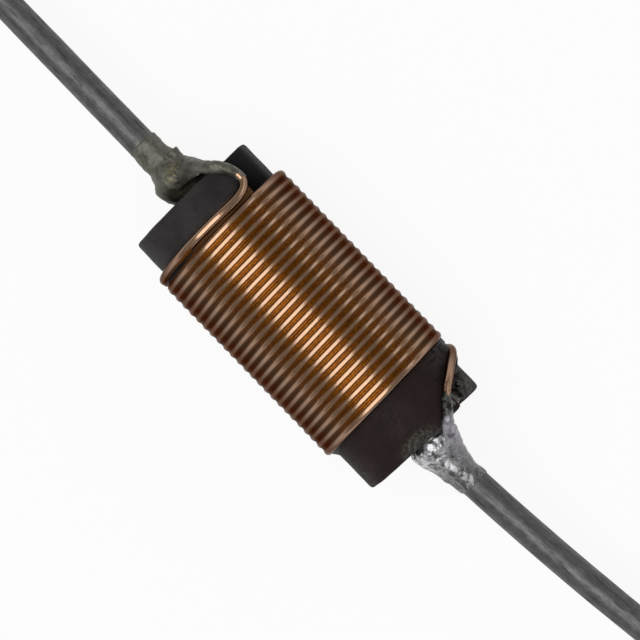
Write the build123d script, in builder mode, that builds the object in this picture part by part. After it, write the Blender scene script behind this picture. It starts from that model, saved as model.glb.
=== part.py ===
"""Axial leaded inductor: a slotted ferrite rod, one layer of enamelled wire and two stiff leads.

The rod lies along X with its middle over the origin, and Z = 0 is the surface that the part
lies on. The winding and the two lead tips touch that surface.
"""
from build123d import *
import os
from math import cos, floor, radians, sin, tan

os.makedirs("parts", exist_ok=True)

# Ferrite rod, with a slot across each end and a blind hole for each lead
core_d = 4.8
core_length = 11.0
core_edge_break = 0.08
slot_width = 1.06
slot_depth = 1.6
slot_turn = 37.0         # degrees round the rod, from +Y towards +Z
lead_hole_depth = 2.5    # below the slot's floor

# Enamelled wire, whose whole turns fill the room between the two insets
wire_d = 0.3
turn_gap = 0.016
wire_seat = 0.01         # clearance between wire and rod
first_turn_inset = 1.47  # from the rod's left end to the middle of the wire
first_turn_angle = 120.0
last_turn_inset = 1.8
last_turn_angle = 179.4
wire_sides = 4           # flats round the wire's section, few because the turns are many

# Leads
lead_d = 1.02
part_length = 52.0       # over both lead tips
lead_kink_inset = 0.3    # from the rod's end into its slot
lead_kink_slope = 3.7    # degrees
lead_kink_reach = 0.2    # each way from the corner
lead_bend_at = 4.5       # from the rod's end to the corner of the long bend
lead_bend_reach = 4.4
left_lead_swing = 0.0    # degrees from straight down towards +Y
right_lead_swing = 44.3

# Cement round each lead in its hole
cement_wall = 0.04

# Tails of the wire, from the turns over the rod's rims to the leads
tail_lift = 0.04         # further from the rod's axis than the turns are
tail_bend_reach = 0.15   # each way from a corner
tail_past_rim = 0.15     # from the rod's end, where a tail turns down
wire_to_lead = 0.03
tail_on_lead = 0.3       # length of the end that lies along the lead
landing_angle = 37.0
left_lift_inset = 1.25   # from the rod's end
left_lift_angle = 70.0
left_hump_run = 0.72     # straight on to the corner of the hump
left_hump_reach = 0.4
left_ear_inset = 0.35
left_ear_angle = 56.0
left_rim_angle = 62.0
left_landing = 1.1       # outwards from the rod's end
back_advance = 0.42      # along the rod while the last half turn goes round the back
back_slack = 0.01        # that this half turn hangs lower than the others
right_lift_inset = 1.2
right_lift_angle = 24.0
right_hump_run = 0.5
right_hump_reach = 0.25
right_ear_inset = 0.4
right_ear_angle = 60.0
right_rim_angle = 69.0
right_landing = 0.5

# Solder
solder_coat = 0.09       # on the wire
solder_skin = 0.02       # where a lump ends on its lead
solder_neck = 0.2        # on the lead at the rod's end
left_solder_bulge = 0.34  # on the lead at a lump's thickest place
left_bulge_at = 0.75     # from the rod's end
left_solder_length = 1.5
right_solder_bulge = 0.4
right_bulge_at = 0.4
right_solder_length = 1.6

core_r = core_d / 2
wire_r = wire_d / 2
lead_r = lead_d / 2
half_length = core_length / 2
turn_pitch = wire_d + turn_gap
part_turn = (last_turn_angle - first_turn_angle) / 360
turns = floor((core_length - first_turn_inset - last_turn_inset) / turn_pitch - part_turn) + part_turn
helix_r = core_r + wire_seat + wire_r
winding_r = helix_r + wire_r
axis_z = winding_r + back_slack
lead_hole_r = lead_r + cement_wall
wire_on_lead_r = lead_r + wire_to_lead + wire_r
tail_r = helix_r + tail_lift


def around(x, radius, angle):
    """A point at x along the rod, at a radius and at an angle from +Y towards +Z."""
    return Vector(x, radius * cos(radians(angle)), axis_z + radius * sin(radians(angle)))


def end_plane(side, inset=0.0):
    """The plane of one end of the rod, facing outwards, with its x direction along the slot."""
    slot_direction = around(0, 1, slot_turn) - around(0, 0, slot_turn)
    return Plane(origin=(side * (half_length - inset), 0, axis_z), x_dir=slot_direction, z_dir=(side, 0, 0))


def bend_plane(side, swing):
    """The plane that a lead bends in: x runs outwards along the rod, y towards the surface."""
    down = Vector(0, sin(radians(swing)), -cos(radians(swing)))
    outwards = Vector(side, 0, 0)
    return Plane(origin=(0, 0, axis_z), x_dir=outwards, z_dir=outwards.cross(down))


def rounded_route(points, reaches):
    """Straight runs through the points, with an arc at each corner that reaches as far each way."""
    start = points[0]
    for before, corner, after, reach in zip(points, points[1:], points[2:], reaches):
        arc_start = corner + (before - corner).normalized() * reach
        arc_end = corner + (after - corner).normalized() * reach
        Line(start, arc_start)
        TangentArc(arc_start, arc_end, tangent=corner - before)
        start = arc_end
    Line(start, points[-1])


def lead_corners(side, swing):
    """A lead's corners: the floor of its hole, its kink, its long bend and its tip on the surface."""
    kink_x = half_length - lead_kink_inset
    bend_x = half_length + lead_bend_at
    corners = [
        (half_length - slot_depth - lead_hole_depth, 0),
        (kink_x, 0),
        (bend_x, (bend_x - kink_x) * tan(radians(lead_kink_slope))),
        (part_length / 2, (axis_z - lead_r) / cos(radians(swing))),
    ]
    return [bend_plane(side, swing).from_local_coords(Vector(x, y)) for x, y in corners]


def make_round(corners, reaches, radius):
    """Round wire of a radius along a route."""
    with BuildPart() as wire:
        with BuildLine() as route:
            rounded_route(corners, reaches)
        path = route.wire()
        with BuildSketch(Plane(origin=path @ 0, z_dir=path % 0)):
            Circle(radius)
        sweep(path=path)
    return wire.part


def make_cement(side):
    """The sleeve of cement between a lead and its hole."""
    with BuildPart() as cement:
        with BuildSketch(end_plane(side, slot_depth)):
            Circle(lead_hole_r)
            Circle(lead_r, mode=Mode.SUBTRACT)
        extrude(amount=-lead_hole_depth)
    return cement.part


def make_lump(lead_route, length, bulge, bulge_at):
    """A lump of solder round a lead, from the rod's end outwards."""
    along = (lead_route[2] - lead_route[1]).normalized()
    start = lead_route[1] + along * lead_kink_inset
    with BuildPart() as lump:
        with BuildSketch(Plane(origin=start, x_dir=along, z_dir=along.cross(Vector(0, 0, 1)))):
            with BuildLine():
                Polyline(
                    (0, 0),
                    (0, lead_r + solder_neck),
                    (bulge_at, lead_r + bulge),
                    (length, lead_r + solder_skin),
                    (length, 0),
                    close=True,
                )
            make_face()
        revolve(axis=Axis(start, along))
    return lump.part


def tail_end(side, landing, rim_angle):
    """A tail's last corners: past the rim, down beside its lead, and where it stops."""
    return [
        around(side * (half_length + tail_past_rim), tail_r, rim_angle),
        around(side * (half_length + landing), wire_on_lead_r, landing_angle),
        around(side * (half_length + landing + tail_on_lead), wire_on_lead_r, landing_angle),
    ]


with BuildPart() as ferrite_core:
    with BuildSketch(end_plane(-1)):
        Circle(core_r)
    extrude(amount=-core_length)
    chamfer(ferrite_core.edges().filter_by(GeomType.CIRCLE), core_edge_break)
    with BuildSketch(end_plane(-1), end_plane(1)):
        Rectangle(core_d, slot_width)
    extrude(amount=-slot_depth, mode=Mode.SUBTRACT)
    with BuildSketch(end_plane(-1, slot_depth), end_plane(1, slot_depth)):
        Circle(lead_hole_r)
    extrude(amount=-lead_hole_depth, mode=Mode.SUBTRACT)
ferrite_core.part.label = "ferrite_core"
export_step(ferrite_core.part, "parts/ferrite_core.step")

left_route = lead_corners(-1, left_lead_swing)
with BuildPart() as lead_left:
    add(make_round(left_route, [lead_kink_reach, lead_bend_reach], lead_r))
lead_left.part.label = "lead_left"
export_step(lead_left.part, "parts/lead_left.step")

right_route = lead_corners(1, right_lead_swing)
with BuildPart() as lead_right:
    add(make_round(right_route, [lead_kink_reach, lead_bend_reach], lead_r))
lead_right.part.label = "lead_right"
export_step(lead_right.part, "parts/lead_right.step")

first_turn_x = -half_length + first_turn_inset
last_turn_x = first_turn_x + turns * turn_pitch
first_direction = around(0, 1, first_turn_angle) - around(0, 0, first_turn_angle)
turns_frame = Plane(origin=(first_turn_x, 0, axis_z), x_dir=first_direction, z_dir=(1, 0, 0))
left_ear = around(-half_length + left_ear_inset, tail_r, left_ear_angle)
left_end = tail_end(-1, left_landing, left_rim_angle)
right_ear = around(half_length - right_ear_inset, tail_r, right_ear_angle)
right_end = tail_end(1, right_landing, right_rim_angle)

with BuildPart() as winding:
    with BuildLine() as turns_line:
        add(turns_frame * Helix(turn_pitch, turns * turn_pitch, helix_r, mode=Mode.PRIVATE))
    helix = turns_line.edge()
    with BuildSketch(Plane(origin=helix @ 0, x_dir=(-1, 0, 0), z_dir=helix % 0)):
        RegularPolygon(wire_r, wire_sides)
    sweep(path=helix, is_frenet=True)

    with BuildLine() as left_tail:
        lift = around(-half_length + left_lift_inset, tail_r, left_lift_angle)
        lift_arc = TangentArc(helix @ 0, lift, tangent=(helix % 0) * -1)
        corners = [lift, lift + (lift_arc % 1) * left_hump_run, left_ear, *left_end]
        rounded_route(corners, [left_hump_reach, *[tail_bend_reach] * 3])
    with BuildSketch(Plane(origin=helix @ 0, x_dir=(1, 0, 0), z_dir=(helix % 0) * -1)):
        RegularPolygon(wire_r, wire_sides)
    sweep(path=left_tail.wire())

    with BuildLine() as right_tail:
        back = around(last_turn_x + back_advance, helix_r, 0)
        back_arc = TangentArc(helix @ 1, back, tangent=helix % 1)
        lift = around(half_length - right_lift_inset, tail_r, right_lift_angle)
        lift_arc = TangentArc(back, lift, tangent=back_arc % 1)
        corners = [lift, lift + (lift_arc % 1) * right_hump_run, right_ear, *right_end]
        rounded_route(corners, [right_hump_reach, *[tail_bend_reach] * 3])
    with BuildSketch(Plane(origin=helix @ 1, x_dir=(-1, 0, 0), z_dir=helix % 1)):
        RegularPolygon(wire_r, wire_sides)
    sweep(path=right_tail.wire())
winding.part.label = "winding"
export_step(winding.part, "parts/winding.step")

with BuildPart() as cement_left:
    add(make_cement(-1))
cement_left.part.label = "cement_left"
export_step(cement_left.part, "parts/cement_left.step")

with BuildPart() as cement_right:
    add(make_cement(1))
cement_right.part.label = "cement_right"
export_step(cement_right.part, "parts/cement_right.step")

with BuildPart() as solder_left:
    add(make_lump(left_route, left_solder_length, left_solder_bulge, left_bulge_at))
    add(make_round([left_ear, left_end[0]], [], wire_r + solder_coat))
    add(make_round([left_end[0], left_end[1]], [], wire_r + solder_coat))
    for piece in (lead_left.part, winding.part, ferrite_core.part):
        add(piece, mode=Mode.SUBTRACT)
solder_left.part.label = "solder_left"
export_step(solder_left.part, "parts/solder_left.step")

with BuildPart() as solder_right:
    add(make_lump(right_route, right_solder_length, right_solder_bulge, right_bulge_at))
    add(make_round([right_ear, right_end[0]], [], wire_r + solder_coat))
    add(make_round([right_end[0], right_end[1]], [], wire_r + solder_coat))
    for piece in (lead_right.part, winding.part, ferrite_core.part):
        add(piece, mode=Mode.SUBTRACT)
solder_right.part.label = "solder_right"
export_step(solder_right.part, "parts/solder_right.step")
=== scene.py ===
"""The looks of the axial inductor: winding, ferrite rod, solder and tinned leads, on a white stage."""
import math

import bmesh
import bpy
import numpy as np
from mathutils import Matrix, Vector, noise


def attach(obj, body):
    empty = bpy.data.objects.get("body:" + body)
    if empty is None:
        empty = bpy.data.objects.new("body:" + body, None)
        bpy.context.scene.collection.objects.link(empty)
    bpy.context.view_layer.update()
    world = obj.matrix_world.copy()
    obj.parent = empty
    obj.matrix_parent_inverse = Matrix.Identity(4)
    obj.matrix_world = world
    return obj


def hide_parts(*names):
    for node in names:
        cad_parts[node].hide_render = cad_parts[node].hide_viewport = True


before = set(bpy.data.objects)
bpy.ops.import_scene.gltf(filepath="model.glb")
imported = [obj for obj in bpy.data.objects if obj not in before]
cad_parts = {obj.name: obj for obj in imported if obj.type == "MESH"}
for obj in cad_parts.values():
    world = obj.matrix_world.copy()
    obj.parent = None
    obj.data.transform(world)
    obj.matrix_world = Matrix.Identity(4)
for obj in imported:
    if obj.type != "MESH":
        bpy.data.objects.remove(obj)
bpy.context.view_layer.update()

MM = 0.001
UV_PER_MM = 0.1             # along a wire, in the map named length_round

# Sizes in millimetres and angles in degrees, as in the CAD source
CORE_R = 2.4
HALF_LENGTH = 5.5
SLOT_WIDTH = 1.06
SLOT_DEPTH = 1.6
SLOT_TURN = 37.0
WIRE_R = 0.15
HELIX_R = 2.56
TURN_PITCH = 0.316
TURNS = 24.165
FIRST_TURN_X = -4.03
FIRST_TURN_ANGLE = 120.0
LEAD_R = 0.51
LEAD_GAP = 0.03             # between a lead and the wire that lies along it
WIRE_ON_LEAD_R = LEAD_R + LEAD_GAP + WIRE_R
HALF_PART = 26.0
AXIS_Z = 2.72
HOLE_DEPTH = 2.5
KINK_X = HALF_LENGTH - 0.3
KINK_REACH = 0.2
KINK_SLOPE = 3.7
BEND_X = HALF_LENGTH + 4.5
BEND_REACH = 4.4
LEFT_SWING = 0.0
RIGHT_SWING = 44.3

# The unevenness of the turns, in millimetres
WANDER = 0.02               # along the rod, by noise
SWELL = 0.006               # outwards, by noise
LEAN = 0.045                # of each turn, more than a plain helix has
BOW = 0.01                  # of each turn's middle against its sides
DRIFT = 0.03                # of most turns towards the right
START_SHIFT = 0.10          # of the wire's start towards the left

# The tails' points before they reach the leads: place along the rod, angle and radius
LEFT_TAIL = (
    (-4.12, 105, 2.57), (-4.125, 88, 2.58), (-4.12, 74, 2.59), (-4.16, 66, 2.6), (-4.27, 58.8, 2.61),
    (-4.47, 54.6, 2.61), (-4.72, 54, 2.6), (-5.0, 56.5, 2.58), (-5.28, 60.5, 2.53), (-5.5, 63.4, 2.33),
    (-5.72, 64, 1.93), (-6.0, 60, 1.32), (-6.3, 48, 0.9),
)
RIGHT_TAIL = (
    (3.70, 215, 2.56), (3.74, 260, 2.56), (3.80, 300, 2.565), (3.86, 328, 2.565), (3.93, 347, 2.575),
    (4.04, 364, 2.59), (4.19, 379, 2.61), (4.38, 393, 2.61), (4.60, 403.5, 2.6), (4.80, 412, 2.6),
    (5.07, 419.5, 2.59), (5.32, 425, 2.57), (5.55, 429, 2.5), (5.75, 428, 1.9), (5.9, 410, 1.2),
)
LEFT_LANDING, RIGHT_LANDING = 1.1, 0.5      # from the rod's end to where a tail meets its lead
TAIL_RUN = 0.3                              # of a tail's end along its lead
TAIL_STEP = 0.05                            # between the points of a tail
POINTS_PER_TURN = 80


# Routes

def around(x, radius, angle):
    """A point at x along the rod, at a radius and at an angle from +Y towards +Z."""
    a = math.radians(angle)
    return np.array((x, radius * math.cos(a), AXIS_Z + radius * math.sin(a)))


def unit(v):
    return v / np.linalg.norm(v)


def line_points(start, end, step):
    n = max(1, math.ceil(np.linalg.norm(end - start) / step))
    return [start + (end - start) * i / n for i in range(n + 1)]


def arc_points(start, end, tangent, step):
    """Points of the arc that leaves start along tangent and ends at end."""
    t = unit(tangent)
    chord = end - start
    n = chord - t * chord.dot(t)
    if np.linalg.norm(n) < 1e-6:
        return line_points(start, end, step)
    n = unit(n)
    radius = chord.dot(chord) / (2 * chord.dot(n))
    turn = 2 * math.atan2(chord.dot(n), chord.dot(t))
    count = max(6, math.ceil(radius * turn / step))
    angles = [turn * i / count for i in range(count + 1)]
    return [start + radius * (math.sin(a) * t + (1 - math.cos(a)) * n) for a in angles]


def rounded_points(corners, reaches, step):
    """Straight runs through the corners, with an arc at each corner."""
    points = []
    start = corners[0]
    for before, corner, after, reach in zip(corners, corners[1:], corners[2:], reaches):
        arc_start = corner + unit(before - corner) * reach
        arc_end = corner + unit(after - corner) * reach
        points += line_points(start, arc_start, step)[:-1]
        points += arc_points(arc_start, arc_end, corner - before, step)[:-1]
        start = arc_end
    return points + line_points(start, corners[-1], step)


def downwards(swing):
    """The direction down, swung by an angle towards +Y."""
    a = math.radians(swing)
    return np.array((0, math.sin(a), -math.cos(a)))


def lead_points(side, swing, step):
    """A lead's line from the floor of its hole to its tip."""
    down = downwards(swing)
    flat = [
        (HALF_LENGTH - SLOT_DEPTH - HOLE_DEPTH, 0),
        (KINK_X, 0),
        (BEND_X, (BEND_X - KINK_X) * math.tan(math.radians(KINK_SLOPE))),
        (HALF_PART, (AXIS_Z - LEAD_R) / math.cos(math.radians(swing))),
    ]
    corners = [np.array((side * x, 0, AXIS_Z)) + down * y for x, y in flat]
    return rounded_points(corners, [KINK_REACH, BEND_REACH], step)


def eased(value, low, high):
    """0 up to low and 1 from high on, with a soft step between them."""
    f = min(1, max(0, (value - low) / (high - low)))
    return f * f * (3 - 2 * f)


def helix_points():
    """The turns, with the small unevenness of a wound wire, as rows of a point and its turn."""
    count = round(TURNS * POINTS_PER_TURN)
    rows = []
    for i in range(count + 1):
        turn = TURNS * i / count
        angle = FIRST_TURN_ANGLE + 360 * turn
        a = math.radians(angle)
        spot = Vector((1.1 * math.cos(a), 1.1 * math.sin(a), 0.6 * turn))
        fade = min(1, turn / 0.5, (TURNS - turn) / 0.5)
        sway = WANDER * fade * noise.noise(spot) - LEAN * math.cos(a) - BOW * abs(math.cos(a))
        sway += (DRIFT * eased(turn, 0.3, 1.5) * (1 - eased(turn, 16, 22))
                 - START_SHIFT * (1 - eased(turn, 0.12, 0.4)))
        lift = SWELL * fade * noise.noise(spot * 2.3 + Vector((9, 0, 0)))
        point = around(FIRST_TURN_X + turn * TURN_PITCH + sway, HELIX_R + lift, angle)
        rows.append((*point, turn))
    return np.array(rows)


def tail_end(side, landing):
    """A tail's last points, beside its lead."""
    return [around(side * (HALF_LENGTH + landing + run), WIRE_ON_LEAD_R, SLOT_TURN) for run in (0, TAIL_RUN)]


def on_rod(rows):
    """Points from rows of a place along the rod, an angle and a radius."""
    return [around(x, radius, angle) for x, angle, radius in rows]


def flowing(points):
    """A smooth line through the points."""
    points = [np.array(p) for p in points]
    padded = [2 * points[0] - points[1], *points, 2 * points[-1] - points[-2]]
    line = []
    for a, b, c, d in zip(padded, padded[1:], padded[2:], padded[3:]):
        gaps = [max(1e-6, np.linalg.norm(q - p)) ** 0.5 for p, q in ((a, b), (b, c), (c, d))]
        t0, t1 = 0.0, gaps[0]
        t2, t3 = t1 + gaps[1], t1 + gaps[1] + gaps[2]
        count = max(2, math.ceil(np.linalg.norm(c - b) / TAIL_STEP))
        for i in range(count):
            t = t1 + (t2 - t1) * i / count
            a1 = (t1 - t) / (t1 - t0) * a + (t - t0) / (t1 - t0) * b
            a2 = (t2 - t) / (t2 - t1) * b + (t - t1) / (t2 - t1) * c
            a3 = (t3 - t) / (t3 - t2) * c + (t - t2) / (t3 - t2) * d
            b1 = (t2 - t) / (t2 - t0) * a1 + (t - t0) / (t2 - t0) * a2
            b2 = (t3 - t) / (t3 - t1) * a2 + (t - t1) / (t3 - t1) * a3
            line.append((t2 - t) / (t2 - t1) * b1 + (t - t1) / (t2 - t1) * b2)
    return line + [points[-1]]


def wire_routes():
    """The left tail, the turns and the right tail, each from left to right."""
    turns = helix_points()
    left = flowing([turns[0, :3], *on_rod(LEFT_TAIL), *tail_end(-1, LEFT_LANDING)])
    right = flowing([turns[-1, :3], *on_rod(RIGHT_TAIL), *tail_end(1, RIGHT_LANDING)])
    return left[::-1], turns, right


# Meshes, made in millimetres

def placed(name, data):
    """A new object in the scene."""
    obj = bpy.data.objects.new(name, data)
    bpy.context.scene.collection.objects.link(obj)
    return obj


def mesh_of(bm, name):
    """A mesh made from bm, which is freed."""
    mesh = bpy.data.meshes.new(name)
    bm.to_mesh(mesh)
    bm.free()
    return mesh


def remove(obj):
    """Removes an object and its mesh."""
    mesh = obj.data
    bpy.data.objects.remove(obj)
    bpy.data.meshes.remove(mesh)


def add_piece(name, mesh, slot, material, *replaced):
    """Puts a mesh in the scene as a piece that rides with the body."""
    mesh.transform(Matrix.Scale(MM, 4))
    mesh.materials.clear()
    mesh.materials.append(material)
    obj = placed(name, mesh)
    for polygon in mesh.polygons:
        polygon.use_smooth = True
    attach(obj, "root")
    if replaced:
        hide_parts(*replaced)


def ring_mesh(name, rings, lengths=None, shares=None):
    """A closed skin over rings of points, with a UV map of length along and share around, and a
    second one that carries one share for each point."""
    rings = np.array(rings)
    n, sides, _ = rings.shape
    verts = rings.reshape(-1, 3).tolist()
    verts += [rings[0].mean(axis=0).tolist(), rings[-1].mean(axis=0).tolist()]
    first, last = n * sides, n * sides + 1
    faces, uvs = [], []
    along = lengths if lengths is not None else list(range(n))
    for i in range(n - 1):
        for k in range(sides):
            m = (k + 1) % sides
            faces.append((i * sides + k, i * sides + m, (i + 1) * sides + m, (i + 1) * sides + k))
            uvs += [(along[i], k / sides), (along[i], (k + 1) / sides),
                    (along[i + 1], (k + 1) / sides), (along[i + 1], k / sides)]
    for k in range(sides):
        m = (k + 1) % sides
        faces.append((first, m, k))
        uvs += [(along[0], 0.5), (along[0], (k + 1) / sides), (along[0], k / sides)]
        faces.append((last, (n - 1) * sides + k, (n - 1) * sides + m))
        uvs += [(along[-1], 0.5), (along[-1], k / sides), (along[-1], (k + 1) / sides)]
    mesh = bpy.data.meshes.new(name)
    mesh.from_pydata(verts, [], faces)
    layer = mesh.uv_layers.new(name="length_round")
    layer.data.foreach_set("uv", np.array(uvs, dtype=np.float32).ravel())
    if shares is not None:
        flat = np.append(np.array(shares, dtype=np.float32).ravel(), (0, 0))
        corners = np.empty(len(mesh.loops), dtype=np.int32)
        mesh.loops.foreach_get("vertex_index", corners)
        pairs = np.stack((flat[corners], np.full(len(corners), 0.5, dtype=np.float32)), axis=1)
        mesh.uv_layers.new(name="lacquer").data.foreach_set("uv", pairs.astype(np.float32).ravel())
    bm = bmesh.new()
    bm.from_mesh(mesh)
    bmesh.ops.recalc_face_normals(bm, faces=bm.faces)
    bm.to_mesh(mesh)
    bm.free()
    return mesh


def run_of(points):
    """The direction at each point of a line, and its length so far."""
    tangents = np.gradient(points, axis=0)
    tangents /= np.linalg.norm(tangents, axis=1)[:, None]
    lengths = np.concatenate(([0], np.cumsum(np.linalg.norm(np.diff(points, axis=0), axis=1))))
    return tangents, lengths


def tube_rings(points, radius, sides):
    """Rings round a line, each from its upper side on, and the length at each ring."""
    points = np.array(points)
    tangents, lengths = run_of(points)
    up = np.array((0.0, 0.0, 1.0))
    rings = []
    for i, (p, t) in enumerate(zip(points, tangents)):
        out = unit(up - t * up.dot(t))
        side = np.cross(t, out)
        ring = []
        for k in range(sides):
            a = 2 * math.pi * k / sides
            ring.append(p + radius(i, lengths[i], a) * (math.cos(a) * out + math.sin(a) * side))
        rings.append(ring)
    return rings, lengths


def thinned(points, least):
    """The points with those left out that come too close to the last one kept."""
    kept = [points[0]]
    for p in points[1:-1]:
        if np.linalg.norm(p[:3] - kept[-1][:3]) > least:
            kept.append(p)
    if np.linalg.norm(points[-1][:3] - kept[-1][:3]) < least:
        kept.pop()
    return kept + [points[-1]]


# Materials

class Look:
    """A node material with a Principled shader and short ways to add nodes."""

    def __init__(self, name, **sockets):
        self.material = bpy.data.materials.new(name)
        self.material.use_nodes = True
        self.tree = self.material.node_tree
        self.bsdf = self.tree.nodes["Principled BSDF"]
        self.place = self.tree.nodes.new("ShaderNodeTexCoord").outputs["Object"]
        for socket, value in sockets.items():
            self.bsdf.inputs[socket.replace("_", " ")].default_value = value

    def node(self, kind, **settings):
        made = self.tree.nodes.new(kind)
        for key, value in settings.items():
            setattr(made, key, value)
        return made

    def link(self, source, target):
        if isinstance(source, bpy.types.NodeSocket):
            self.tree.links.new(source, target)
        else:
            target.default_value = source

    def noise(self, size, detail=3.0, roughness=0.55, distortion=0.0, place=None):
        """Noise whose spots are about size millimetres."""
        made = self.node("ShaderNodeTexNoise")
        made.inputs["Scale"].default_value = 1 / (size * MM)
        made.inputs["Detail"].default_value = detail
        made.inputs["Roughness"].default_value = roughness
        made.inputs["Distortion"].default_value = distortion
        self.link(place or self.place, made.inputs["Vector"])
        return made.outputs["Fac"]

    def range(self, value, low, high, to_low=0.0, to_high=1.0):
        """A soft step from to_low, up to low, to to_high, from high on."""
        made = self.node("ShaderNodeMapRange", interpolation_type="SMOOTHSTEP")
        self.link(value, made.inputs["Value"])
        ends = (("From Min", low), ("From Max", high), ("To Min", to_low), ("To Max", to_high))
        for socket, number in ends:
            made.inputs[socket].default_value = number
        return made.outputs["Result"]

    def math(self, operation, a, b):
        made = self.node("ShaderNodeMath", operation=operation)
        self.link(a, made.inputs[0])
        self.link(b, made.inputs[1])
        return made.outputs["Value"]

    def times(self, a, b):
        return self.math("MULTIPLY", a, b)

    def mix(self, factor, a, b):
        """Colour a where factor is 0 and b where it is 1."""
        made = self.node("ShaderNodeMix", data_type="RGBA")
        self.link(factor, made.inputs["Factor"])
        self.link(a if isinstance(a, bpy.types.NodeSocket) else (*a, 1), made.inputs["A"])
        self.link(b if isinstance(b, bpy.types.NodeSocket) else (*b, 1), made.inputs["B"])
        return made.outputs["Result"]

    def blend(self, value, low, high, a, b, least=0.0, most=1.0):
        """Colour a where a value is low, and b, as far as most, where it is high."""
        return self.mix(self.range(value, low, high, least, most), a, b)

    def near(self, spot, radii, core):
        """0 outside the ellipsoid of these radii about a spot, in millimetres, and 1 inside this
        share of it."""
        shift = self.node("ShaderNodeVectorMath", operation="SUBTRACT")
        self.link(self.place, shift.inputs[0])
        shift.inputs[1].default_value = [c * MM for c in spot]
        scale = self.node("ShaderNodeVectorMath", operation="DIVIDE")
        self.link(shift.outputs[0], scale.inputs[0])
        scale.inputs[1].default_value = [r * MM for r in radii]
        length = self.node("ShaderNodeVectorMath", operation="LENGTH")
        self.link(scale.outputs[0], length.inputs[0])
        return self.range(length.outputs["Value"], 1.0, core)

    def axis(self, name):
        """The place along an axis, in metres."""
        split = self.node("ShaderNodeSeparateXYZ")
        self.link(self.place, split.inputs[0])
        return split.outputs[name]

    def map(self, name):
        """The two numbers of a UV map."""
        made = self.node("ShaderNodeUVMap", uv_map=name)
        split = self.node("ShaderNodeSeparateXYZ")
        self.link(made.outputs["UV"], split.inputs[0])
        return split.outputs["X"], split.outputs["Y"]

    def vector(self, x, y=0.0):
        made = self.node("ShaderNodeCombineXYZ")
        self.link(x, made.inputs["X"])
        self.link(y, made.inputs["Y"])
        return made.outputs["Vector"]

    def facing(self):
        """0 where the surface faces the eye and 1 at its outline."""
        return self.node("ShaderNodeLayerWeight").outputs["Facing"]

    def set(self, socket, value):
        """Gives a number, a colour or another node's output to the shader."""
        self.link(value, self.bsdf.inputs[socket])

    def bump(self, height, depth, strength):
        """Bump of a depth in millimetres."""
        made = self.node("ShaderNodeBump")
        made.inputs["Strength"].default_value = strength
        made.inputs["Distance"].default_value = depth * MM
        self.link(height, made.inputs["Height"])
        self.link(made.outputs["Normal"], self.bsdf.inputs["Normal"])


def wire_look():
    """Enamelled copper: pale copper crests, with amber lacquer between the turns, and painted mauve-brown
    shade towards the outline.
    """
    look = Look("enamelled_copper", Metallic=1.0, Coat_Roughness=0.12, Coat_IOR=1.65)
    look.bsdf.inputs["Specular Tint"].default_value = (0.45, 0.36, 0.32, 1)
    length, _ = look.map("length_round")
    lacquer, _ = look.map("lacquer")
    facing = look.facing()
    slow = look.noise(0.9, 2.0)
    fine = look.noise(0.09, 4.0, 0.6)
    streak = look.noise(0.5, 3.0, 0.6, place=look.vector(look.times(length, MM / UV_PER_MM)))
    crest = look.blend(slow, 0.3, 0.7, (0.42, 0.235, 0.125), (0.36, 0.20, 0.110))
    crest = look.blend(streak, 0.35, 0.7, crest, (0.27, 0.155, 0.085), most=0.5)
    # Painted shade: the crests darken to mauve-brown towards the outline
    crest = look.blend(facing, 0.15, 0.6, crest, (0.145, 0.092, 0.072))
    amber = look.blend(fine, 0.35, 0.65, (0.25, 0.074, 0.004), (0.135, 0.040, 0.004))
    # Painted shade: the lacquer darkens towards the outline
    amber = look.blend(facing, 0.08, 0.42, amber, (0.056, 0.030, 0.018))
    look.set("Base Color", look.blend(lacquer, 0.05, 0.85, crest, amber))
    look.set("Roughness", look.range(lacquer, 0.1, 0.9, 0.24, 0.34))
    look.set("Coat Weight", look.times(look.range(facing, 0.1, 0.6, 1.0, 0.1),
                                       look.range(lacquer, 0.1, 0.7, 1.0, 0.05)))
    look.bump(look.noise(0.05, 3.0), 0.004, 0.5)
    return look.material


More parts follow.
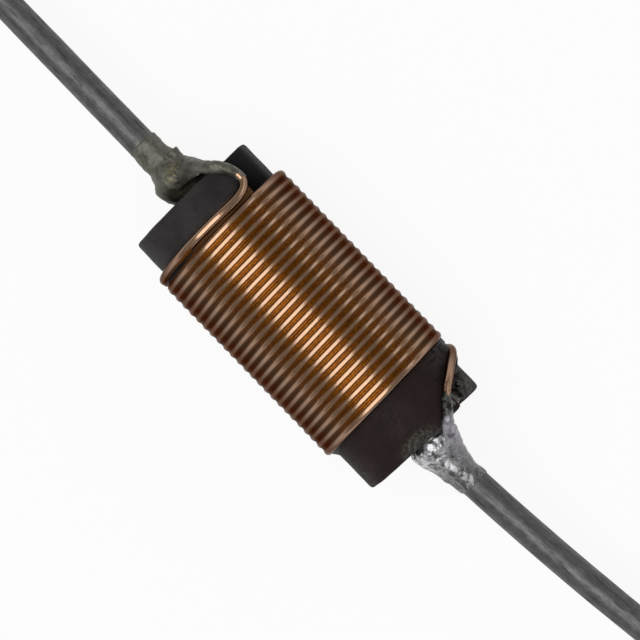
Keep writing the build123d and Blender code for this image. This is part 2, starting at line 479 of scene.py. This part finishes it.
def ferrite_look():
    """Pressed ferrite, matte and nearly black, cooler at the left and browner at the right, with
    films of flux, solder and lacquer, a painted bluish reflection in the right slot and painted
    light on the left end's far ear."""
    look = Look("ferrite", Specular_IOR_Level=0.15)
    grain = look.noise(0.12, 5.0, 0.6)
    clouds = look.noise(0.8, 3.0, 0.5)
    speckle = look.noise(0.1, 5.0, 0.65, 0.6)
    cool = look.blend(clouds, 0.3, 0.7, (0.0180, 0.0155, 0.0155), (0.030, 0.026, 0.0265))
    warm = look.blend(clouds, 0.3, 0.7, (0.0115, 0.0060, 0.0052), (0.0175, 0.0095, 0.0082))
    base = look.blend(look.axis("X"), -3.5 * MM, 3.5 * MM, cool, warm)
    base = look.blend(grain, 0.58, 0.8, base, (0.042, 0.038, 0.036), most=0.5)
    # Flux on the near ear by the right lead
    film = look.near((5.42, -0.25, AXIS_Z + 2.35), (0.42, 0.95, 0.7), 0.35)
    film = look.times(film, look.range(speckle, 0.42, 0.62, 0.1, 0.9))
    base = look.mix(film, base, (0.078, 0.074, 0.062))
    # Lacquer between the left tail and the first turn
    stain = look.near((-4.0, 0.3, AXIS_Z + 2.0), (0.40, 2.6, 1.9), 0.35)
    stain = look.times(stain, look.range(clouds, 0.3, 0.6, 0.8, 1.0))
    base = look.mix(stain, base, (0.15, 0.058, 0.012))
    # Painted light on the left end's far ear: an even bluish grey in place of the mottled ferrite
    far = look.near((-4.9, 1.95, AXIS_Z + 0.6), (1.3, 0.9, 1.3), 0.6)
    base = look.mix(far, base, (0.018, 0.017, 0.019))
    # Solder on the right end's far ear
    splash = look.near((5.15, 1.8, AXIS_Z + 0.9), (0.55, 0.75, 0.8), 0.4)
    splash = look.times(splash, look.range(speckle, 0.42, 0.62, 0.2, 0.8))
    base = look.mix(splash, base, (0.17, 0.165, 0.155))
    # Painted highlight: a bluish reflection in the right slot
    streak = look.near((4.05, 1.95, AXIS_Z + 0.9), (0.3, 0.2, 0.35), 0.2)
    base = look.mix(look.times(streak, 0.7), base, (0.09, 0.105, 0.13))
    look.set("Base Color", base)
    look.set("Roughness", look.range(grain, 0.3, 0.7, 0.55, 0.75))
    look.bump(look.noise(0.06, 4.0, 0.65), 0.012, 0.6)
    return look.material


def lead_look():
    """Dull drawn tin plating, with marks and paler streaks along it."""
    look = Look("tinned_copper", Metallic=1.0)
    length, share = look.map("length_round")
    # Places on the unrolled wire, pressed together along it, so that the noise is drawn out
    drawn = look.vector(look.times(length, 0.16 * MM / UV_PER_MM), look.times(share, 3.2 * MM))
    marks = look.noise(0.13, 4.0, 0.62, place=drawn)
    spots = look.noise(0.35, 4.0, 0.65, 0.4)
    fine = look.noise(0.07, 3.0, 0.6, place=drawn)
    base = look.blend(spots, 0.35, 0.7, (0.110, 0.110, 0.109), (0.150, 0.149, 0.148))
    base = look.blend(marks, 0.50, 0.70, base, (0.055, 0.055, 0.054), most=0.75)
    base = look.blend(fine, 0.56, 0.75, base, (0.27, 0.272, 0.27), most=0.55)
    look.set("Base Color", base)
    look.set("Roughness", look.range(marks, 0.3, 0.7, 0.45, 0.62))
    look.bump(marks, 0.012, 0.7)
    return look.material


def solder_left_look():
    """Dull solder under grey-green flux, with painted dark brown shade by the rod, and yellow-brown flux
    spots.
    """
    look = Look("solder_dull", Metallic=0.75)
    clouds = look.noise(0.3, 5.0, 0.6, 0.5)
    fine = look.noise(0.15, 4.0, 0.6, 0.6)
    base = look.blend(clouds, 0.3, 0.7, (0.085, 0.083, 0.066), (0.155, 0.150, 0.125))
    spots = look.near((-6.35, 0.1, AXIS_Z + 0.75), (0.45, 0.5, 0.4), 0.3)
    spots = look.times(spots, look.range(fine, 0.42, 0.62, 0.0, 0.8))
    base = look.mix(spots, base, (0.27, 0.225, 0.095))
    # Painted shade: dark brown where the lump meets the rod's end, below its top
    brown = look.times(look.range(look.axis("X"), -6.3 * MM, -5.8 * MM),
                       look.range(look.axis("Z"), (AXIS_Z + 1.9) * MM, (AXIS_Z + 1.3) * MM))
    brown = look.times(brown, look.range(clouds, 0.2, 0.5, 0.75, 1.0))
    base = look.mix(brown, base, (0.014, 0.011, 0.005))
    look.set("Base Color", base)
    look.set("Roughness", look.range(clouds, 0.3, 0.7, 0.4, 0.58))
    look.bump(look.noise(0.14, 4.0, 0.6), 0.03, 0.7)
    return look.material


def solder_right_look():
    """Bright solder with a crinkled skin and dark patches, smoother above and greyer there by a
    painted lilac-grey reflection, duller where it coats the wire and where it runs out on the lead."""
    look = Look("solder_bright", Metallic=1.0)
    crinkle = look.noise(0.2, 4.0, 0.58, 0.8)
    patches = look.noise(0.32, 4.0, 0.6, 0.6)
    # Painted reflection: lilac-grey over the patches on the upper side
    upper = look.range(look.axis("Y"), 0.15 * MM, 0.6 * MM)
    bright = look.blend(patches, 0.42, 0.62, (0.58, 0.58, 0.60), (0.11, 0.112, 0.105))
    bright = look.mix(look.times(upper, 0.85), bright, (0.30, 0.285, 0.32))
    # Shade where the lump meets the rod's end
    notch = look.near((5.56, -0.55, AXIS_Z + 0.7), (0.14, 0.7, 0.7), 0.5)
    bright = look.mix(notch, bright, (0.045, 0.045, 0.042))
    worn = look.blend(crinkle, 0.4, 0.6, (0.12, 0.12, 0.122), (0.22, 0.22, 0.222))
    bright = look.blend(look.axis("X"), 6.2 * MM, 7.3 * MM, bright, worn)
    # The coat of the wire, with one bright drop
    dull = look.blend(crinkle, 0.4, 0.65, (0.030, 0.027, 0.024), (0.13, 0.13, 0.118))
    coat = look.range(look.axis("X"), 5.6 * MM, 5.35 * MM)
    glint = look.near((5.15, 1.37, AXIS_Z + 2.05), (0.16, 0.16, 0.3), 0.5)
    coat = look.times(coat, look.math("SUBTRACT", 1.0, glint))
    look.set("Base Color", look.mix(coat, bright, dull))
    look.set("Roughness", look.range(upper, 0.0, 1.0, 0.35, 0.45))
    look.bump(crinkle, 0.045, 0.8)
    return look.material


def cement_look():
    """Brown cement."""
    look = Look("cement", Roughness=0.7)
    look.set("Base Color", look.mix(look.noise(0.15, 4.0), (0.05, 0.035, 0.02), (0.12, 0.09, 0.055)))
    look.bump(look.noise(0.08, 3.0), 0.01, 0.5)
    return look.material


def varnish_look():
    """Dark, dull varnish."""
    look = Look("varnish", Roughness=0.5, Specular_IOR_Level=0.12)
    look.set("Base Color", look.mix(look.noise(0.12, 4.0), (0.008, 0.005, 0.004), (0.018, 0.011, 0.009)))
    look.bump(look.noise(0.1, 4.0, 0.6), 0.02, 0.7)
    return look.material


# Winding

# Degrees on the wire's own round, from its crest: bare, then where lacquer fills the groove
CREST = (6, 12, 18, 24, 30)
FLANK = (48, 66, 84, 102)
# The same for the inner side, with the offset sideways and the depth below the crest when filled
INNER = ((122, 0.166, 0.075), (142, 0.12, 0.2), (162, 0.05, 0.29))
BARE_CREST = 0.02           # half its width
LACQUER_RAMP = 0.095        # from bare wire to the full look of lacquer
FADE_LEFT, FADE_RIGHT = 14, 16      # points of the tails over which the lacquer's fill runs out


def lacquer_share(x):
    """How much lacquer lies on the wire at a distance sideways from its crest."""
    return min(1, max(0, (x - BARE_CREST) / LACQUER_RAMP))


def wire_side(fill):
    """One half of the wire's outline, as rows of offset sideways, offset outwards and lacquer.
    fill goes from 0, bare wire, to 1, a groove filled with lacquer up to the middle between turns."""
    rows = []
    for degrees in CREST:
        a = math.radians(degrees)
        x = WIRE_R * math.sin(a)
        rows.append((x, WIRE_R * math.cos(a), fill * lacquer_share(x)))
    edge = math.radians(CREST[-1])
    x0, slope = WIRE_R * math.sin(edge), math.tan(edge)
    span = TURN_PITCH / 2 - x0
    flank = []
    for i, degrees in enumerate(FLANK):
        x = x0 + span * (i + 1) / len(FLANK)
        depth = WIRE_R * (1 - math.cos(edge)) + slope * ((x - x0) - (x - x0) ** 2 / (2 * span))
        flank.append((degrees, x, depth))
    for degrees, x, depth in [*flank, *INNER]:
        a = math.radians(degrees)
        rows.append((
            WIRE_R * math.sin(a) * (1 - fill) + x * fill,
            WIRE_R * math.cos(a) * (1 - fill) + (WIRE_R - depth) * fill,
            fill * lacquer_share(x),
        ))
    return rows


def make_winding(left, turns, right):
    """One wire from tail to tail, its grooves filled with lacquer from turn to turn."""
    rows = []       # of a point and how far the groove to its left and right is filled
    for i, p in enumerate(left[:-1]):
        rows.append((*p, 0.0, eased(i, len(left) - FADE_LEFT, len(left))))
    for *p, turn in turns:
        rows.append((*p, eased(turn, 0.9, 1.0), 1 - eased(turn, TURNS - 1.0, TURNS - 0.9)))
    for i, p in enumerate(right[1:]):
        rows.append((*p, 1 - eased(i, 0, FADE_RIGHT), 0.0))
    rows = np.array(thinned([np.array(row) for row in rows], 0.02))
    points = rows[:, :3]
    tangents, lengths = run_of(points)
    rings, shares = [], []
    for p, t, (fill_left, fill_right) in zip(points, tangents, rows[:, 3:]):
        out = np.array((0.0, p[1], p[2] - AXIS_Z))
        out = unit(out - t * out.dot(t))
        side = np.cross(t, out)
        outline = [(0.0, WIRE_R, 0.0), *wire_side(fill_left), (0.0, -WIRE_R, 0.0)]
        outline += [(-x, y, share) for x, y, share in wire_side(fill_right)[::-1]]
        rings.append([p + side * x + out * y for x, y, _ in outline])
        shares.append([share for _, _, share in outline])
    mesh = ring_mesh("enamelled_winding", rings, lengths * UV_PER_MM, shares)
    add_piece("enamelled_winding", mesh, "enamelled_wire", wire_look(), "winding")


def make_bead(material):
    """A bead of varnish that runs down from the last turn to the rod, round its far side."""
    steps, back, top = 120, 3.5, 3.72       # back and top: places along the rod
    rings = []
    for i in range(steps + 1):
        angle = 150 + 240 * i / steps
        size = eased(i, 0, 14) * (1 - eased(i, 100, 120))
        size *= 0.85 + 0.3 * noise.noise(Vector((angle / 25, 0.3, 0.7)))
        foot, height = 3.78 + 0.34 * size, 0.02 + 0.26 * size
        outline = [(back, CORE_R - 0.04), (back, CORE_R + height), (top, CORE_R + height)]
        for f in (0.2, 0.45, 0.7, 1.0):
            outline.append((top + (foot - top) * f, 2.39 + (0.01 + height) * (1 - f) ** 1.2))
        outline.append((foot, 2.34))
        rings.append([around(x, r, angle) for x, r in outline])
    add_piece("winding_varnish", ring_mesh("winding_varnish", rings), "enamelled_wire", material)


def make_tail_varnish(material):
    """A skin of varnish over the slot at the right tail's foot, with a ridge along the tail."""
    skin = [
        (3.66, -12, 2.60), (3.66, 15, 2.56), (3.7, 56, 2.42), (3.95, -4, 2.67), (4.12, 4, 2.69),
        (4.30, 14, 2.64), (4.30, 56, 2.41), (4.85, 50, 2.38), (4.85, 48, 2.2), (4.60, 38, 2.40),
        (4.10, -14, 2.30), (3.7, -16, 2.30), (3.7, 50, 2.2), (4.3, 50, 2.2),
    ]
    ridge = [
        (4.10, 3, 2.69), (4.32, 11, 2.66), (4.50, 21, 2.60), (4.70, 33, 2.50),
        (4.15, -4, 2.36), (4.60, 17, 2.34), (4.75, 28, 2.36), (4.35, 36, 2.36),
    ]
    mesh = fused("tail_varnish", [hull_mesh(on_rod(skin)), hull_mesh(on_rod(ridge))], 6, [(0.3, 0.03, 2.0)])
    add_piece("tail_varnish", mesh, "enamelled_wire", material)


# Leads

def make_lead(name, side, swing, seed, material, node):
    """A drawn wire, a little out of round, with a softened tip."""
    points = thinned(lead_points(side, swing, 0.12), 0.05)

    def radius(i, length, angle):
        spot = Vector((length * 0.5, math.cos(angle) * 0.9, math.sin(angle) * 0.9 + seed))
        r = LEAD_R - 0.006 + 0.006 * noise.noise(spot) + 0.003 * noise.noise(spot * 5)
        return r - (0.05 if i in (0, len(points) - 1) else 0.0)

    rings, lengths = tube_rings(points, radius, 48)
    add_piece(name, ring_mesh(name, rings, lengths * UV_PER_MM), "tinned_lead", material, node)


# Solder

SKIN_VOXEL = 0.035
COAT_STEP = 0.012           # over the bare wire, where a coat begins
# Rows of a distance from the rod's end, then radii towards +Y, +Z, -Y and -Z
LEFT_LUMP = (
    (-0.12, 1.20, 0.62, 0.58, 0.60),
    (0.10, 1.20, 0.66, 0.65, 0.62),
    (0.27, 1.14, 0.72, 0.72, 0.66),
    (0.54, 1.06, 0.80, 0.80, 0.72),
    (0.78, 0.94, 0.80, 0.83, 0.74),
    (1.03, 0.78, 0.70, 0.65, 0.66),
    (1.30, 0.67, 0.60, 0.535, 0.57),
    (1.70, 0.58, 0.55, 0.52, 0.53),
    (2.30, 0.525, 0.52, 0.515, 0.515),
)
RIGHT_LUMP = (
    (-0.12, 0.90, 0.70, 0.52, 0.60),
    (0.08, 0.95, 0.90, 0.71, 0.68),
    (0.27, 0.97, 0.98, 0.83, 0.74),
    (0.49, 0.93, 0.95, 0.835, 0.74),
    (0.76, 0.83, 0.82, 0.76, 0.70),
    (1.03, 0.71, 0.71, 0.68, 0.64),
    (1.30, 0.61, 0.63, 0.63, 0.59),
    (1.70, 0.55, 0.56, 0.57, 0.55),
    (2.20, 0.52, 0.52, 0.53, 0.52),
)


def blended(table, s):
    """Values at s from rows of a place and values, by straight steps between the rows."""
    if s <= table[0][0]:
        return table[0][1:]
    for low, high in zip(table, table[1:]):
        if s <= high[0]:
            f = (s - low[0]) / (high[0] - low[0])
            return tuple(a + (b - a) * f for a, b in zip(low[1:], high[1:]))
    return table[-1][1:]


def lump_rings(side, swing, table):
    """Rings of solder round a lead's first run."""
    sides, step = 64, 0.04
    down = downwards(swing)
    slope = math.tan(math.radians(KINK_SLOPE))
    start, end = table[0][0], table[-1][0]
    count = round((end - start) / step)
    rings = []
    for i in range(count + 1):
        s = start + (end - start) * i / count
        middle = np.array((side * (HALF_LENGTH + s), 0, AXIS_Z)) + down * slope * (s + HALF_LENGTH - KINK_X)
        radii = blended(table, s)
        ring = []
        for k in range(sides):
            a = 2 * math.pi * k / sides
            quarter = int(k * 4 / sides)
            f = eased(k * 4 / sides - quarter, 0, 1)
            r = radii[quarter] * (1 - f) + radii[(quarter + 1) % 4] * f
            ring.append(middle + r * np.array((0, math.cos(a), math.sin(a))))
        rings.append(ring)
    return rings


def roughen(mesh, lumps):
    """Moves the skin in and out by noise, in rows of size, height and seed."""
    count = len(mesh.vertices)
    places = np.empty(count * 3, dtype=np.float32)
    normals = np.empty(count * 3, dtype=np.float32)
    mesh.vertices.foreach_get("co", places)
    mesh.vertices.foreach_get("normal", normals)
    places = places.reshape(-1, 3)
    shift = np.zeros(count)
    for size, height, seed in lumps:
        shift += [height * noise.noise(Vector((x / size + seed, y / size, z / size)))
                  for x, y, z in places.tolist()]
    places += normals.reshape(-1, 3) * shift[:, None]
    mesh.vertices.foreach_set("co", places.ravel())
    mesh.update()


def skinned(helper, name, voxel, smoothings):
    """An even, smoothed skin over an object, which is removed."""
    remesh = helper.modifiers.new("skin", "REMESH")
    remesh.mode = "VOXEL"
    remesh.voxel_size = voxel
    smooth = helper.modifiers.new("smooth", "SMOOTH")
    smooth.factor = 0.5
    smooth.iterations = smoothings
    graph = bpy.context.evaluated_depsgraph_get()
    mesh = bpy.data.meshes.new_from_object(helper.evaluated_get(graph))
    remove(helper)
    mesh.name = name
    return mesh


def fused(name, meshes, smoothings, lumps):
    """One skin over several closed meshes, made uneven by rows of size, height and seed."""
    bm = bmesh.new()
    for mesh in meshes:
        bm.from_mesh(mesh)
        bpy.data.meshes.remove(mesh)
    mesh = skinned(placed("parts", mesh_of(bm, "parts")), name, SKIN_VOXEL, smoothings)
    roughen(mesh, lumps)
    return mesh


def coat_mesh(points, thickness):
    """Solder round a tail, thin over the first fifth of it."""
    points = thinned(points, 0.03)

    def radius(i, _length, _angle):
        begun = eased(i / len(points), 0.0, 0.2)
        return WIRE_R + COAT_STEP + (thickness - COAT_STEP) * begun

    rings, _ = tube_rings(points, radius, 24)
    return ring_mesh("coat", rings)


def hull_mesh(points):
    """The convex hull of the points."""
    bm = bmesh.new()
    for p in points:
        bm.verts.new(p)
    bmesh.ops.convex_hull(bm, input=bm.verts)
    loose = [v for v in bm.verts if not v.link_faces]
    bmesh.ops.delete(bm, geom=loose, context="VERTS")
    bmesh.ops.recalc_face_normals(bm, faces=bm.faces)
    return mesh_of(bm, "hull")


def drop_mesh(centre):
    """A small round drop."""
    bm = bmesh.new()
    bmesh.ops.create_icosphere(bm, subdivisions=2, radius=0.10, matrix=Matrix.Translation(centre))
    return mesh_of(bm, "drop")


def far_wall(x, reach):
    """A point on the far ear's side of a slot, at a reach from the rod's axis along the slot."""
    a = math.radians(SLOT_TURN)
    return np.array((
        x,
        reach * math.cos(a) + SLOT_WIDTH / 2 * math.sin(a),
        AXIS_Z + reach * math.sin(a) - SLOT_WIDTH / 2 * math.cos(a),
    ))


def make_solder_left(material, tail):
    body = ring_mesh("body", lump_rings(-1, LEFT_SWING, LEFT_LUMP))
    coat = coat_mesh([p for p in tail[::-1] if p[0] < -4.5], 0.07)
    web = hull_mesh(on_rod([
        (-5.56, 63, 2.1), (-5.56, 72, 1.9), (-5.75, 63, 1.85), (-5.75, 74, 1.75),
        (-6.55, 35, 0.85), (-6.45, 80, 0.78), (-5.62, 25, 1.2), (-5.75, 90, 0.9),
    ]))
    mesh = fused("solder_left_lump", [body, coat, web], 5, [(0.5, 0.05, 3.0), (0.16, 0.02, 7.0)])
    add_piece("solder_left_lump", mesh, "solder", material, "solder_left")


def make_solder_right(material, tail):
    body = ring_mesh("body", lump_rings(1, RIGHT_SWING, RIGHT_LUMP))
    coat = coat_mesh([p for p in tail if p[0] > 4.72], 0.035)
    web = hull_mesh([
        *on_rod([(5.02, 55, 2.42), (5.02, 52, 2.30), (5.42, 66, 2.42), (5.42, 52, 2.42), (5.42, 47, 2.2)]),
        far_wall(5.05, 1.9), far_wall(5.38, 1.85), far_wall(5.38, 1.3), far_wall(5.1, 1.6),
    ])
    drops = [drop_mesh(far_wall(4.99, 2.02)), drop_mesh((5.15, 1.37, AXIS_Z + 2.0))]
    mesh = fused("solder_right_lump", [body, coat, web, *drops], 4, [(0.45, 0.05, 5.0), (0.15, 0.025, 9.0)])
    add_piece("solder_right_lump", mesh, "solder", material, "solder_right")


# Ferrite rod

CORE_VOXEL = 0.06
SLOT_OVERRUN = 1.0          # of the cutter beyond the rod's end
# Lean of the left and right end, along the rod for each millimetre of height, and their shift
END_LEAN = {-1: (0.045, 0.02), 1: (0.028, 0.005)}


def slot_cutter(side):
    """A box that cuts the slot across one end of the rod."""
    bm = bmesh.new()
    middle = Matrix.Translation((side * (HALF_LENGTH - SLOT_DEPTH / 2 + SLOT_OVERRUN / 2), 0, AXIS_Z))
    a = math.radians(SLOT_TURN)
    axes = Matrix(((1, 0, 0), (0, math.cos(a), -math.sin(a)), (0, math.sin(a), math.cos(a)))).to_4x4()
    size = Matrix.Diagonal((SLOT_DEPTH + SLOT_OVERRUN, 3 * CORE_R, SLOT_WIDTH, 1))
    bmesh.ops.create_cube(bm, size=1, matrix=middle @ axes @ size)
    return placed("slot", mesh_of(bm, "slot"))


def make_core(material):
    """The slotted rod with softened edges and ends slightly out of square."""
    bm = bmesh.new()
    turned = Matrix.Translation((0, 0, AXIS_Z)) @ Matrix.Rotation(math.pi / 2, 4, "Y")
    bmesh.ops.create_cone(bm, cap_ends=True, segments=128, radius1=CORE_R, radius2=CORE_R,
                          depth=2 * HALF_LENGTH, matrix=turned)
    rod = placed("rod", mesh_of(bm, "rod"))
    cutters = [slot_cutter(side) for side in (-1, 1)]
    for cutter in cutters:
        cut = rod.modifiers.new("slot", "BOOLEAN")
        cut.operation = "DIFFERENCE"
        cut.solver = "EXACT"
        cut.object = cutter
    mesh = skinned(rod, "ferrite_rod", CORE_VOXEL, 5)
    for cutter in cutters:
        remove(cutter)
    for v in mesh.vertices:
        lean, shift = END_LEAN[-1 if v.co.x < 0 else 1]
        v.co.x += lean * (v.co.z - AXIS_Z) * eased(abs(v.co.x), 4.2, 5.3) + shift
    roughen(mesh, [(0.6, 0.012, 0.0)])
    add_piece("ferrite_rod", mesh, "ferrite", material, "ferrite_core")


# Stage, lights and camera, in metres

FLOOR_RADII = (0.05, 0.3, 1.2, 1.8)
RIM_R = 0.2
WALL_TOP = 0.3
FLOOR_WHITE = 0.9           # share of the floor's white that doesn't come from the lamps
WORLD_LEVEL = 0.28
# Lean from the zenith towards +Y in degrees, distance, width, depth and radiance
KEY = (-15, 0.6, 0.9, 0.52, 2.4)
FILL = (57, 0.7, 0.7, 0.18, 1.0)
LENS = 161.4
SENSOR = 36
DISTANCE = 93.3 * MM
PIXEL = 0.0325 * MM         # of the photo, at the rod's axis
RIGHT_OF_ORIGIN, BELOW_ORIGIN = 12.7, 4.7       # the picture's middle, in such pixels
ROLL = 45.96                # degrees, between the rod and the picture's lower edge
TILT = 1.6                  # degrees, of the rod against the picture's plane


def make_floor():
    """A floor that rises at its rim."""
    bm = bmesh.new()
    sides = 96
    profile = [(r, 0.0) for r in FLOOR_RADII]
    for degrees in (15, 30, 45, 60, 75, 90):
        a = math.radians(degrees)
        profile.append((FLOOR_RADII[-1] + RIM_R * math.sin(a), RIM_R - RIM_R * math.cos(a)))
    profile.append((FLOOR_RADII[-1] + RIM_R, WALL_TOP))
    turns = [2 * math.pi * k / sides for k in range(sides)]
    rings = [[bm.verts.new((r * math.cos(a), r * math.sin(a), z)) for a in turns] for r, z in profile]
    bm.faces.new(rings[0])
    for low, high in zip(rings, rings[1:]):
        for k in range(sides):
            bm.faces.new((low[k], high[k], high[(k + 1) % sides], low[(k + 1) % sides]))
    bmesh.ops.recalc_face_normals(bm, faces=bm.faces)
    floor = placed("studio_floor", mesh_of(bm, "studio_floor"))
    floor.data.materials.append(floor_material())


def floor_material():
    """White paper, which the camera and reflections see as nearly pure white."""
    material = bpy.data.materials.new("studio_white")
    material.use_nodes = True
    tree = material.node_tree
    tree.nodes.clear()

    def linked(kind, *sources, **settings):
        made = tree.nodes.new(kind)
        for key, value in settings.items():
            setattr(made, key, value)
        for source, target in zip(sources, made.inputs):
            tree.links.new(source, target)
        return made

    rays = tree.nodes.new("ShaderNodeLightPath").outputs
    seen = rays["Is Camera Ray"]
    for name in ("Is Glossy Ray", "Is Transmission Ray"):
        seen = linked("ShaderNodeMath", seen, rays[name], operation="MAXIMUM").outputs[0]
    share = linked("ShaderNodeMath", seen, operation="MULTIPLY")
    share.inputs[1].default_value = FLOOR_WHITE
    paper = tree.nodes.new("ShaderNodeBsdfDiffuse")
    paper.inputs["Color"].default_value = (0.82, 0.82, 0.82, 1)
    glow = tree.nodes.new("ShaderNodeEmission")
    glow.inputs["Color"].default_value = (1, 1, 1, 1)
    glow.inputs["Strength"].default_value = 1.0
    either = linked("ShaderNodeMixShader", share.outputs[0], paper.outputs[0], glow.outputs[0])
    linked("ShaderNodeOutputMaterial", either.outputs[0])
    return material


def make_world():
    world = bpy.data.worlds.new("studio")
    world.use_nodes = True
    background = world.node_tree.nodes["Background"]
    background.inputs["Color"].default_value = (1, 1, 1, 1)
    background.inputs["Strength"].default_value = WORLD_LEVEL
    bpy.context.scene.world = world


def add_softbox(name, lean, distance, width, depth, radiance):
    """An area lamp at an angle from the zenith towards +Y, facing the part."""
    data = bpy.data.lights.new(name, "AREA")
    data.shape = "RECTANGLE"
    data.size = width
    data.size_y = depth
    data.energy = radiance * math.pi * width * depth
    lamp = placed(name, data)
    away = Vector((0, math.tan(math.radians(lean)), 1)).normalized()
    side = away.cross(Vector((1, 0, 0))).normalized()
    across = side.cross(away).normalized()
    axes = Matrix((across, side, away)).transposed().to_4x4()
    lamp.matrix_world = Matrix.Translation(away * distance) @ axes


def make_lights():
    add_softbox("key_softbox", *KEY)
    add_softbox("fill_softbox", *FILL)


def make_camera():
    """A camera over the rod, turned and placed as the photo's."""
    data = bpy.data.cameras.new("camera")
    data.lens = LENS
    data.sensor_width = SENSOR
    data.clip_start = 0.001
    data.clip_end = 10
    camera = placed("camera", data)
    roll, tilt = math.radians(ROLL), math.radians(TILT)
    along = Vector((math.cos(tilt), 0, -math.sin(tilt)))
    across = Vector((0, 1, 0))
    right = along * math.cos(roll) + across * math.sin(roll)
    up = across * math.cos(roll) - along * math.sin(roll)
    back = right.cross(up)
    middle = Vector((0, 0, AXIS_Z * MM)) + (right * RIGHT_OF_ORIGIN - up * BELOW_ORIGIN) * PIXEL
    axes = Matrix((right, up, back)).transposed().to_4x4()
    camera.matrix_world = Matrix.Translation(middle + back * DISTANCE) @ axes
    bpy.context.scene.camera = camera


make_camera()
make_floor()
make_world()
make_lights()
left_tail, turns, right_tail = wire_routes()
make_winding(left_tail, turns, right_tail)
varnish = varnish_look()
make_bead(varnish)
make_tail_varnish(varnish)
lead_material = lead_look()
make_lead("tinned_lead_left", -1, LEFT_SWING, 2.0, lead_material, "lead_left")
make_lead("tinned_lead_right", 1, RIGHT_SWING, 9.0, lead_material, "lead_right")
make_core(ferrite_look())
make_solder_left(solder_left_look(), left_tail)
make_solder_right(solder_right_look(), right_tail)
cement = cement_look()
for node in ("cement_left", "cement_right"):
    cad_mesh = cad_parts[node].data
    cad_mesh.materials.clear()
    cad_mesh.materials.append(cement)

bpy.context.scene.view_settings.view_transform = "Standard"
